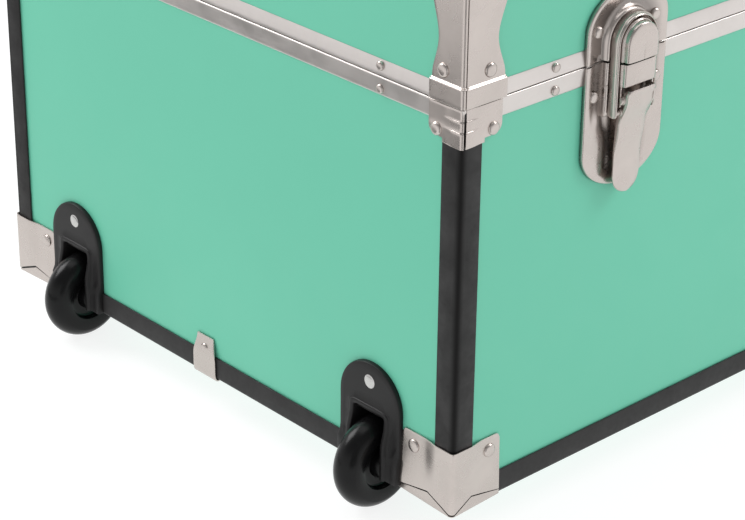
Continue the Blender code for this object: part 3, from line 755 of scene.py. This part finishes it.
def edge_clamps():
    """A clip over the bottom binding in the middle of each end, dished round its rivet."""
    for side, sign in (("wheel_end", -1), ("handle_end", 1)):
        low, high = corner_of(f"edge_clamp_{side}", 0), corner_of(f"edge_clamp_{side}", 1)
        middle, half = (low.y + high.y) / 2, (high.y - low.y) / 2 - 0.8
        tall = high.z - UNDER - 2.4
        rows = []
        for part in spread(-1, 1, 13):
            row = []
            for z in [tall, tall - 0.8, tall - 2, 19.5, 18, 16.5, 15, 13.5, 12, 10, 8, 5, 3, 1.5]:
                out = 1.3 + 1.5 * (1 - ease(z, 11.5, tall))
                narrow = 1 - 0.26 * ease(z, 10, tall)
                row.append(on_side(side, middle + part * half * narrow, z, out))
            fold = arc((0.2, 0.6), (2.5, 3.3), 0, -90, 5)
            row += [on_side(side, middle + part * half, z, out) for out, z in fold + [(-17, -2.7)]]
            rows.append(row)
        clamp = Shape().grid(rows)
        clamp.build(f"edge_clamp_{side}", NICKEL, "base", thick=0.9, outward=(sign, 0, -0.3), bevel=0.3)


def rivets():
    """The domed rivets of the corners, clamps and bands, one piece for each body."""
    base, lid = Shape(), Shape()
    # each row: distances in from the corner on the end and on the long side, height, out, radius, rise
    on_base = [
        (16.6, 20.0, BASE_HIGH - 15.2, 2.1, 3.8, 1.8), (29.5, 26.4, 28.9, 1.0, 4.0, 1.6),
        (60, 65.5, BASE_HIGH - 7.4, 1.2, 2.7, 1.3),
    ]
    for corner, (sx, sy) in CORNERS.items():
        for half in (END, LONG):
            side = side_of(corner, half)
            edge, sign = (Y_FACE[sy], sy) if half == END else (X_FACE[sx], sx)
            out = lid_corner_out(17.6, half) - 0.1
            on_lid = [
                (FOOT[END] * 0.60, FOOT[LONG] * 0.60, BASE_HIGH + 17.4, out, 4.0, 1.8),
                (60, 65.5, BASE_HIGH + 5.4, 1.2, 2.7, 1.3),
            ]
            for shape, heads in ((lid, on_lid), (base, on_base)):
                for by_end, by_long, *place in heads:
                    shape.rivet_on(side, edge - sign * (by_end if half == END else by_long), *place)
        for u, v in ((16.5, 8.5), (8.5, 15.5)):
            lid.rivet(inward(corner, u, v, TOP + 2.8), (0, 0, 1), 3.3, 1.5)
    for side in ("wheel_end", "handle_end"):
        base.rivet_on(side, halfway(f"edge_clamp_{side}", Y), 16.6, 1.7, 3.1, 1.5)
    base.build("base_rivets", NICKEL, "base")
    lid.build("lid_rivets", NICKEL, "lid")


# ---- wheels
def arch(centre, half, straight, rise, low, turns=24, sides=8, square=1.0):
    """An arch outline: up one side, over the top and down the other, as (across, height). The top is an
    ellipse, or closer to a rectangle as square drops below 1."""
    left = [(centre - half, z) for z in spread(low, straight, sides)]
    over = []
    for x, z in arc((0, 0), (1, 1), 180, 0, turns)[1:-1]:
        over.append((centre + math.copysign(abs(x) ** square, x) * half, straight + z ** square * rise))
    return left + over + [(centre + half, z) for z in spread(straight, low, sides)]


def wheel_housings():
    """Arched plates round open wells. A raised rim round each slot grows into two ribbed cheeks."""
    for side in ("front", "back"):
        node = f"wheel_housing_{side}"
        low, high = corner_of(node, 0), corner_of(node, 1)
        centre, half = (low.y + high.y) / 2, (high.y - low.y) / 2 - 0.7
        tall = high.z - UNDER
        slot, face = SLOT_HALF, 3.1
        levels = [
            # half width, straight part's height, rise of the top, out, swell of the lower cheeks, squareness
            (half, tall - half, half, 0.2, 0, 1),
            (half, tall - half, half, face - 0.9, 0, 1),
            (half - 0.35, tall - half, half - 0.35, face - 0.25, 0, 1),
            (half - 1.1, tall - half, half - 1.1, face, 0, 1),
            (half - 3.5, tall - half, half - 5, face, 0, 0.95),
            (20.5, 34.0, 13.0, face, 0, 0.75),
            (17.6, 33.0, 9.0, face, 0.2, 0.45),
            (17.2, 33.0, 8.6, face + 0.15, 1.3, 0.38),
            (16.0, 33.0, 7.7, face + 0.2, 1.5, 0.36),
            (15.6, 33.0, 7.4, face + 0.7, 2.6, 0.34),
            (14.9, 33.0, 6.8, face + 0.9, 2.9, 0.33),
            (13.7, 33.0, 5.8, face + 0.9, 3.0, 0.32),
            (slot + 0.4, 33.0, 5.0, face + 0.6, 2.9, 0.3),
            (slot, 33.0, 4.6, face, 2.4, 0.3),
            (slot, 33.0, 4.6, 0.5, 0, 0.3),
            (slot - 0.02, 32.0, WELL_TOP - 32.0, 0.3, 0, 0.3),
            (slot - 0.02, 32.0, WELL_TOP - 32.0, -33.0, 0, 0.3),
        ]
        rows = []
        for wide, straight, rise, out, swell, square in levels:
            row = []
            for y, z in arch(centre, wide, straight, rise, -0.3, 24, 14, square):
                cheek = swell * (1 - ease(z, 18, 34))
                flare = 2.1 * (1 - ease(z, 12.5, 17.5)) if out > 0.5 else 0
                row.append(on_side("wheel_end", y, z, out + max(cheek, flare)))
            rows.append(row)
        shape = Shape().grid(rows)
        shape.faces.append(tuple(range(len(shape.points) - len(rows[0]), len(shape.points))))
        shape.build(node, PLASTIC, "base", thick=1.4, outward=(-1, 0, 0), bevel=0.25)
        head = Shape().rivet_on("wheel_end", centre, tall - 11.2, face, 4.1, 0.55)
        head.build(f"{node}_rivet", STEEL, "base")


def wheels():
    """Fat glossy wheels with recessed hubs, on the CAD's axles."""
    for side in ("front", "back"):
        low, high = corner_of(f"wheel_{side}", 0), corner_of(f"wheel_{side}", 1)
        centre = (low + high) / 2
        radius, tyre = (high.z - low.z) / 2, 9.7
        hub = 11.2
        tread = arc((radius - tyre, 0), (tyre, tyre), -68, 68, 30)
        face = [(15.6, 8.6), (15.0, 8.4), (14.4, 7.4), (13.8, 5.2), (12.6, 4.4), (9.4, 4.2), (8.4, 4.6)]
        face += [(7.8, 6.0), (7.5, hub - 0.7), (6.9, hub), (4.6, hub), (4.2, hub - 0.4), (3.4, hub - 0.6)]
        profile = [(r, -a) for r, a in reversed(face)] + tread + face
        Shape().hoop(profile, centre, 72).build(f"wheel_{side}", TYRE, f"wheel_{side}")
        washer = Shape()
        for way in (-1, 1):
            tube = arc((5.6, hub - 0.1), (0.4, 0.4), 0, 330, 11)
            rows = []
            for turn in full_turn(48):
                around = Vector((math.cos(turn), 0, math.sin(turn)))
                rows.append([centre + around * r + Vector((0, way * a, 0)) for r, a in tube])
            washer.grid(rows, loop=True, closed=True)
        washer.build(f"hub_rings_{side}", STEEL, f"wheel_{side}")
        paint(nodes[f"axle_{side}"], STEEL)


# ---- latches
DOME_SIDES = [
    # half width, out
    (17.1, 3.6), (16.5, 4.4), (15.4, 4.7), (13.4, 4.7), (13.0, 5.4), (12.9, 10.2), (12.6, 10.8), (12.1, 11.0),
    (11.9, 11.7),
]
PLATE_EDGE = [
    # half width, rise of the rounded end, out
    (31.0, 23.0, 0.4), (31.0, 23.0, 2.2), (30.7, 22.7, 2.9), (30.0, 22.0, 3.2),
]


def on_front(x, points):
    """Points on the front, each from its distance across from x, its rise and its distance out."""
    return [on_side("front", x + across, BASE_HIGH + rise, out) for across, rise, out in points]


def latch_sheet(x, sign, levels, body, name, hollow=lambda across, high, wide: 0):
    """A stamped plate from the parting line up (1) or down (-1): nested arches, each with its height out."""
    rows = []
    for wide, straight, rise, out in levels:
        outline = arch(0, wide, straight, rise, PARTING_GAP, 28, 12)
        rows.append(on_front(x, [(a, sign * high, out + hollow(a, high, wide)) for a, high in outline]))
    # The plate takes the nickel with painted shade in its hollows
    Shape().grid(rows).build(name, LATCH_PLATE_SHADED, body, thick=0.8, outward=(0, -1, 0), bevel=0.25)


def latch_catch(label, x):
    """The lid's half: a dished plate, and a stepped dome that the link closes over."""
    dome = DOME_SIDES + [(11.8, 13.4), (11.4, 14.2), (10.6, 14.6)]
    levels = [(wide, 16.5, rise, out) for wide, rise, out in PLATE_EDGE]
    levels += [(28.8, 16.4, 20.9, 3.1), (26.5, 16.0, 19.3, 2.5), (23.5, 15.0, 17.6, 1.7)]
    levels += [(20.5, 13.0, 17.4, 1.1), (18.6, 11.0, 17.2, 1.1), (17.5, 9.6, 17.2, 2.2)]
    levels += [(wide, 9.4, wide, out) for wide, out in dome]
    levels += [(9.0, 9.3, 9.0, 14.8), (5.0, 8.0, 5.0, 15.0), (0.02, 6.0, 0.02, 15.05)]
    latch_sheet(x, 1, levels, "lid", f"latch_catch_{label}")


def latch_base(label, x):
    """The base's half: a longer dished plate, a bridge that carries on the dome's line, and two rails."""
    def valley(across, high, wide):
        if wide > 27:
            return 0
        lower = ease(high, 30, 46)
        edge = 17.8 - 6.0 * lower
        flank = 3.0 + 1.8 * lower if abs(across) > edge else 3.0 - 0.8 * lower
        depth = 1.6 * (1 - ease(high, 63, 70))
        dip = -depth * math.exp(-((abs(across) - edge) / flank) ** 2)
        dish = -1.7 * (1 - ease(high, 22, 38)) * ease(28 - abs(across), 0, 4) * ease(abs(across), 15, 18)
        return min(dip, dish) - 0.5 * ease(27 - wide, 0, 8) * (1 - ease(-dish, 0, 0.5))

    straight = 50.6
    widths = [29, 27.6, 26.4, 25, 23.5, 22, 20.8, 19.6, 18.6, 17.8, 17, 16, 14.8, 13.2, 11, 8, 4, 0.02]
    levels = [(wide, straight, rise, out) for wide, rise, out in PLATE_EDGE]
    levels += [(wide, straight, max(0.02, wide * 0.70), 3.2) for wide in widths]
    latch_sheet(x, -1, levels, "base", f"latch_base_{label}", valley)

    crown = [(17.3, 1.0)] + DOME_SIDES + [(11.8, 12.6), (11.4, 13.2), (10.6, 13.5), (6.0, 13.8)]
    section = [(-a, out) for a, out in crown] + [(a, out) for a, out in reversed(crown)]
    rows = []
    for drop, sink in ((PARTING_GAP, 0), (5, 0), (12.6, 0), (13.1, 0.15), (13.4, 0.6)):
        rows.append(on_front(x, [(a, -drop, out - sink) for a, out in section]))
    bridge = Shape().bar(rows)
    pivot_out, pivot_z = PIVOT
    foot = 13.2
    rail = [(17.3, 1.0), (17.1, 3.6), (16.5, 4.4), (15.4, 4.7), (13.6, 4.7), (foot, 1.0)]
    ear = [(min(out, 11.0), z) for out, z in arc(PIVOT, (3.6, 3.6), 0, -180, 8)]
    ear = [(11.0, -12.8)] + ear + [(5.0, -12.8)]
    for side in (-1, 1):
        rows = []
        for drop, part in ((13.2, 1), (20, 1), (27, 1), (29.5, 0.96), (31.0, 0.8), (31.9, 0.5)):
            slim = 0.4 + 0.6 * part
            points = [(side * (foot + (a - foot) * slim), -drop, 1.0 + (out - 1.0) * part) for a, out in rail]
            rows.append(on_front(x, points))
        bridge.bar(rows)
        rows = [on_front(x, [(side * a, z, out) for out, z in ear]) for a in (11.75, 12.75)]
        bridge.bar(rows)
    reach_across = 13.3
    low = on_side("front", x - reach_across, BASE_HIGH + pivot_z, pivot_out)
    bridge.pin(low, low + Vector((2 * reach_across, 0, 0)), 2.3, 0.6)
    bridge.build(f"latch_bridge_{label}", NICKEL, "base", bevel=0.2)

    heads = Shape()
    for dx, word in ((-1, "left"), (1, "right")):
        heads.rivet_on("front", x + dx * 24.0, BASE_HIGH - 18.4, 2.6, 3.3, 1.5)
        top = Shape().rivet_on("front", x + dx * 22.0, BASE_HIGH + 17.0, 1.6, 3.3, 1.7)
        top.build(f"latch_catch_rivet_{word}_{label}", NICKEL, "lid")
    heads.build(f"latch_base_rivets_{label}", NICKEL, "base")


def latch_link(label, x):
    """The drawn ring, with a stepped rim, and its cross pin."""
    foot, top = -31.0, 9.4
    section = [
        (16.0, 5.7), (16.0, 8.5), (15.75, 9.1), (15.35, 9.3), (15.2, 9.9), (14.95, 10.4), (14.5, 10.65),
        (14.35, 10.6), (14.1, 10.2), (14.05, 9.4), (14.05, 5.7),
    ]
    shoulder = foot + 1.5
    stations = [(z, 180) for z in spread(shoulder, top, 10)]
    stations += [(top, angle) for angle in spread(180, 0, 33)[1:-1]]
    stations += [(z, 0) for z in spread(top, shoulder, 10)]
    rows = []
    for z, angle in stations:
        turn = math.radians(angle)
        rows.append(on_front(x, [(r * math.cos(turn), z + r * math.sin(turn), out) for r, out in section]))
    mid_r, mid_out = 14.8, 8.2
    for step, part in ((0.9, 0.85), (1.5, 0.5)):
        slim = [(mid_r + (r - mid_r) * part, mid_out + (out - mid_out) * part) for r, out in section]
        tip = [(r, shoulder - step, out) for r, out in slim]
        rows.insert(0, on_front(x, [(-a, z, out) for a, z, out in tip]))
        rows.append(on_front(x, tip))
    ring = Shape().bar(rows)
    reach_across = 14.2
    low = on_side("front", x - reach_across, BASE_HIGH + LINK_PIN[1], LINK_PIN[0])
    ring.pin(low, low + Vector((2 * reach_across, 0, 0)), 1.7, 0.4)
    ring.build(f"latch_link_{label}", NICKEL, f"link_{label}")


def lever_front(drop):
    """How far the lever's face stands out at a drop below the parting line."""
    return between([(15.2, 15.9), (21, 14.6), (39, 9.4), (56, 7.4), (70, 7.2), (77.6, 7.6)], drop)


def latch_lever(label, x):
    """The lever: a long tongue with folded sides, round at its tip and hung on two pins."""
    tip, radius = 77.6, 10.4
    drops = [15.3, 15.8, 16.6, 18, 20.5, 24, 28, 32, 36, 40, 44, 48, 52, 56, 60, 64, tip - radius]
    turns = (9, 18, 27, 36, 45, 53, 60, 67, 73, 78, 83, 87)
    drops += [tip - radius + radius * math.sin(math.radians(a)) for a in turns]
    rows = []
    for drop in drops:
        half = between([(15.2, 11.0), (30, 10.8), (44, radius), (90, radius)], drop)
        if drop > tip - radius:
            half = math.sqrt(max(0.01, radius ** 2 - (drop - tip + radius) ** 2))
        if drop < 17:
            half -= 1.2 * (1 - ease(drop, 15.2, 17.0))
        out = lever_front(drop) - 0.5 * (1 - ease(drop, 15.2, 16.4))
        flange = min(half * 0.35, between([(15.2, 3.6), (22, 4.6), (36, 3.0), (62, 1.2), (78, 0.7)], drop))
        tight = min(1.0, half / 4)
        crown = 0.5 * min(1.0, half / radius)
        section = [(-half, -flange), (-half, -flange * 0.5), (-half, -min(1.1, flange * 0.45))]
        section += [(-half + 0.3 * tight, -0.5 * tight), (-half + 0.9 * tight, -0.2 * tight)]
        section.append((-half * 0.62, 0.0))
        row = section + [(0, crown * 0.25)] + [(-a, b) for a, b in reversed(section)]
        rows.append(on_front(x, [(a, -drop, out + b) for a, b in row]))
    tongue, body = Shape().grid(rows), f"lever_{label}"
    tongue.build(f"latch_lever_{label}", NICKEL, body, thick=0.9, outward=(0, -1, 0), bevel=0.25)
    outline = [(12.9, -17.4), (15.0, -18.2), (14.2, -24.0), (10.6, -32.6)]
    outline += arc(LINK_PIN, (3.1, 3.1), -60, -180, 5) + arc(PIVOT, (3.6, 3.6), 180, 100, 4)
    cheeks = Shape()
    for side in (-1, 1):
        rows = [on_front(x, [(side * a, z, out) for out, z in outline]) for a in (9.6, 10.7)]
        cheeks.bar(rows)
        for (out, z), r in ((PIVOT, 2.7), (LINK_PIN, 2.5)):
            start = on_side("front", x + side * 10.6, BASE_HIGH + z, out)
            cheeks.pin(start, start + Vector((side * 0.9, 0, 0)), r, 0.25)
    cheeks.build(f"lever_cheeks_{label}", NICKEL, body, bevel=0.2)


def latches():
    """Two draw latches on the front."""
    for label in ("wheel_side", "handle_side"):
        x = halfway(f"latch_base_{label}", X)
        latch_catch(label, x)
        latch_base(label, x)
        latch_link(label, x)
        latch_lever(label, x)


# ---- fittings whose CAD shape is kept
def dress(name, finish, edge):
    """A CAD node with a finish and softened edges."""
    made = nodes[name]
    paint(made, finish)
    weld = made.modifiers.new("weld", "WELD")
    weld.merge_threshold = 0.00001
    soften(made, edge, 3)


def hinges():
    """The butt hinges keep their CAD leaves and gain rivets."""
    for label in ("wheel_side", "handle_side"):
        for part, body, sign in (("base", "base", -1), ("lid", "lid", 1)):
            node = f"hinge_{part}_leaf_{label}"
            dress(node, NICKEL, 0.25)
            x = halfway(node, X)
            heads = Shape()
            for dx, rise in ((-18, 13), (18, 13), (0, 24)):
                heads.rivet_on("back", x + dx, BASE_HIGH + sign * rise, 2.5, 3.0, 1.3)
            heads.build(f"hinge_{part}_rivets_{label}", NICKEL, body)


def handle():
    """The bail and its brackets keep their CAD shape; finger ribs and rivets are added."""
    dress("handle_bail", PLASTIC, 0.4)
    low, high = corner_of("handle_bail", 0), corner_of("handle_bail", 1)
    centre = Vector(((low.x + high.x) / 2, (low.y + high.y) / 2, low.z + 11))
    profile = [(11.0, -1.7), (11.5, -1.2), (11.75, 0), (11.5, 1.2), (11.0, 1.7), (9.5, 1.7), (9.5, -1.7)]
    ribs = Shape()
    for step in range(-3, 4):
        at = (centre.x, centre.y + step * 9, centre.z)
        ribs.lathe(profile, facing(at, (0, 1, 0)), 40, closed=True)
    ribs.build("handle_grip_ribs", PLASTIC, "handle")
    for side in ("front", "back"):
        node = f"handle_bracket_{side}"
        dress(node, NICKEL, 0.3)
        y, z = halfway(node, Y), halfway(node, Z)
        heads = Shape()
        for dz in (-15.5, 15.5):
            heads.rivet((RIGHT + 1.6, y, z + dz), (1, 0, 0), 3.2, 1.4)
        heads.build(f"handle_rivets_{side}", NICKEL, "base")


def centre_lock():
    """The lock keeps its CAD shape and gains rivets and a bright collar round the key."""
    dress("lock_case", NICKEL, 0.9)
    dress("lock_strike", NICKEL, 0.3)
    dress("key_cylinder", BRASS, 0.25)
    at = (corner_of("key_cylinder", 0) + corner_of("key_cylinder", 1)) / 2
    at.y = corner_of("lock_case", 0).y
    profile = [(7.5, 0.6), (7.5, -0.5), (7.8, -0.85), (8.6, -0.9), (9.1, -0.6), (9.3, 0.6)]
    Shape().hoop(profile, at, 48).build("lock_collar", NICKEL, "base")
    heads = Shape()
    for dx in (-15, 15):
        heads.rivet_on("front", at.x + dx, BASE_HIGH + 22, 2.7, 2.8, 1.2)
    heads.build("lock_strike_rivets", NICKEL, "lid")


# ---- stage, in metres
def on_stage(name, data):
    """A new object of the stage."""
    made = bpy.data.objects.new(name, data)
    bpy.context.scene.collection.objects.link(made)
    return made


def camera():
    """The photographer's view: a long lens with a little roll, looking down on the wheel corner."""
    data = bpy.data.cameras.new("camera")
    data.sensor_width = 36
    data.lens = 117.17
    data.clip_start = 0.05
    across = Vector((0.73936, -0.67324, 0.00987)).normalized()
    ahead = Vector((0.60711, 0.66026, -0.44212)).normalized()
    turn = Matrix((across, across.cross(ahead), -ahead)).transposed().to_4x4()
    corner = Vector((LEFT, FRONT, UNDER))
    made = on_stage("camera", data)
    made.matrix_world = Matrix.Translation((corner + Vector((-789.0, -792.6, 702.4))) * 0.001) @ turn
    bpy.context.scene.camera = made


def area_light(name, place, size, power):
    """A square white light aimed at the middle of the box."""
    data = bpy.data.lights.new(name, "AREA")
    data.shape = "RECTANGLE"
    data.size = data.size_y = size
    data.energy = power
    made = on_stage(name, data)
    made.matrix_world = facing(place, Vector(place) - Vector((0, 0, 0.15)))


def stage_plane(name, points, look):
    """A flat four-cornered piece of the stage."""
    mesh = bpy.data.meshes.new(name)
    mesh.from_pydata(points, [], [(0, 1, 2, 3)])
    mesh.materials.append(look.material)
    made = on_stage(name, mesh)
    return made


def dark_card(name, points, grey):
    """A dark mat or screen that only reflections see."""
    card = stage_plane(name, points, Look(name, (grey, grey, grey), 0.9))
    card.visible_camera = False
    card.visible_diffuse = False
    card.visible_shadow = False


def dark_cards():
    """What darkens the metal and the gloss: a mat by the wheel end, and the photographer's dark corner."""
    (x0, y0), (x1, y1) = (-0.92, -0.02), (-0.56, 1.1)
    mat = 0.004
    dark_card("end_mat", [(x0, y0, mat), (x1, y0, mat), (x1, y1, mat), (x0, y1, mat)], 0.20)
    corner = Vector((LEFT, FRONT, 0)) * 0.001
    off = Vector((-0.68, -0.74, 0)).normalized()
    across = Vector((-off.y, off.x, 0))
    fan = []
    for distance, half in ((0.15, 0.06), (1.0, 0.38)):
        ends = [corner + off * distance + across * side * half for side in (-1, 1)]
        fan += ends if distance < 0.5 else reversed(ends)
    dark_card("corner_mat", [point + Vector((0, 0, mat)) for point in fan], 0.30)
    foot, half, tall = corner + off * 1.3, 0.42, 1.5
    edges = ((-1, 0), (1, 0), (1, tall), (-1, tall))
    screen = [foot + across * half * side + Vector((0, 0, z)) for side, z in edges]
    dark_card("corner_screen", screen, 0.25)


def surround():
    """A studio surround that is white at the horizon and grey overhead."""
    world = bpy.context.scene.world or bpy.data.worlds.new("studio")
    bpy.context.scene.world = world
    world.use_nodes = True
    tree = world.node_tree
    ahead = tree.nodes.new("ShaderNodeTexCoord").outputs["Generated"]
    axes = tree.nodes.new("ShaderNodeSeparateXYZ")
    level = tree.nodes.new("ShaderNodeMapRange")
    level.interpolation_type = "SMOOTHSTEP"
    fill(level, From_Min=0.08, From_Max=0.62, To_Min=1.0, To_Max=0.3)
    tree.links.new(ahead, axes.inputs["Vector"])
    tree.links.new(axes.outputs["Z"], level.inputs["Value"])
    tree.links.new(level.outputs["Result"], tree.nodes["Background"].inputs["Strength"])
    fill(tree.nodes["Background"], Color=(1, 1, 1, 1))


def stage():
    """A pale floor, soft lights and an even white surround."""
    half = 6.0
    pale = Look("pale_floor", (0.26, 0.26, 0.26), 0.8, Specular_IOR_Level=0.0)
    fill(pale.shader, Emission_Color=(1, 1, 1, 1), Emission_Strength=0.84)
    stage_plane("floor", [(-half, -half, 0), (half, -half, 0), (half, half, 0), (-half, half, 0)], pale)
    dark_cards()
    surround()
    area_light("key", (1.6, -1.2, 1.95), 1.2, 29)
    area_light("rim", (-1.1, 1.65, 1.65), 1.2, 31)
    area_light("top", (0, 0.3, 3.0), 2.4, 26)
    bpy.context.scene.view_settings.view_transform = "Standard"


camera()
stage()
panels()
bands()
bindings()
for corner_name in CORNERS:
    base_corner(corner_name)
    lid_corner(corner_name)
    bottom_corner(corner_name)
edge_clamps()
rivets()
wheel_housings()
wheels()
latches()
hinges()
handle()
centre_lock()
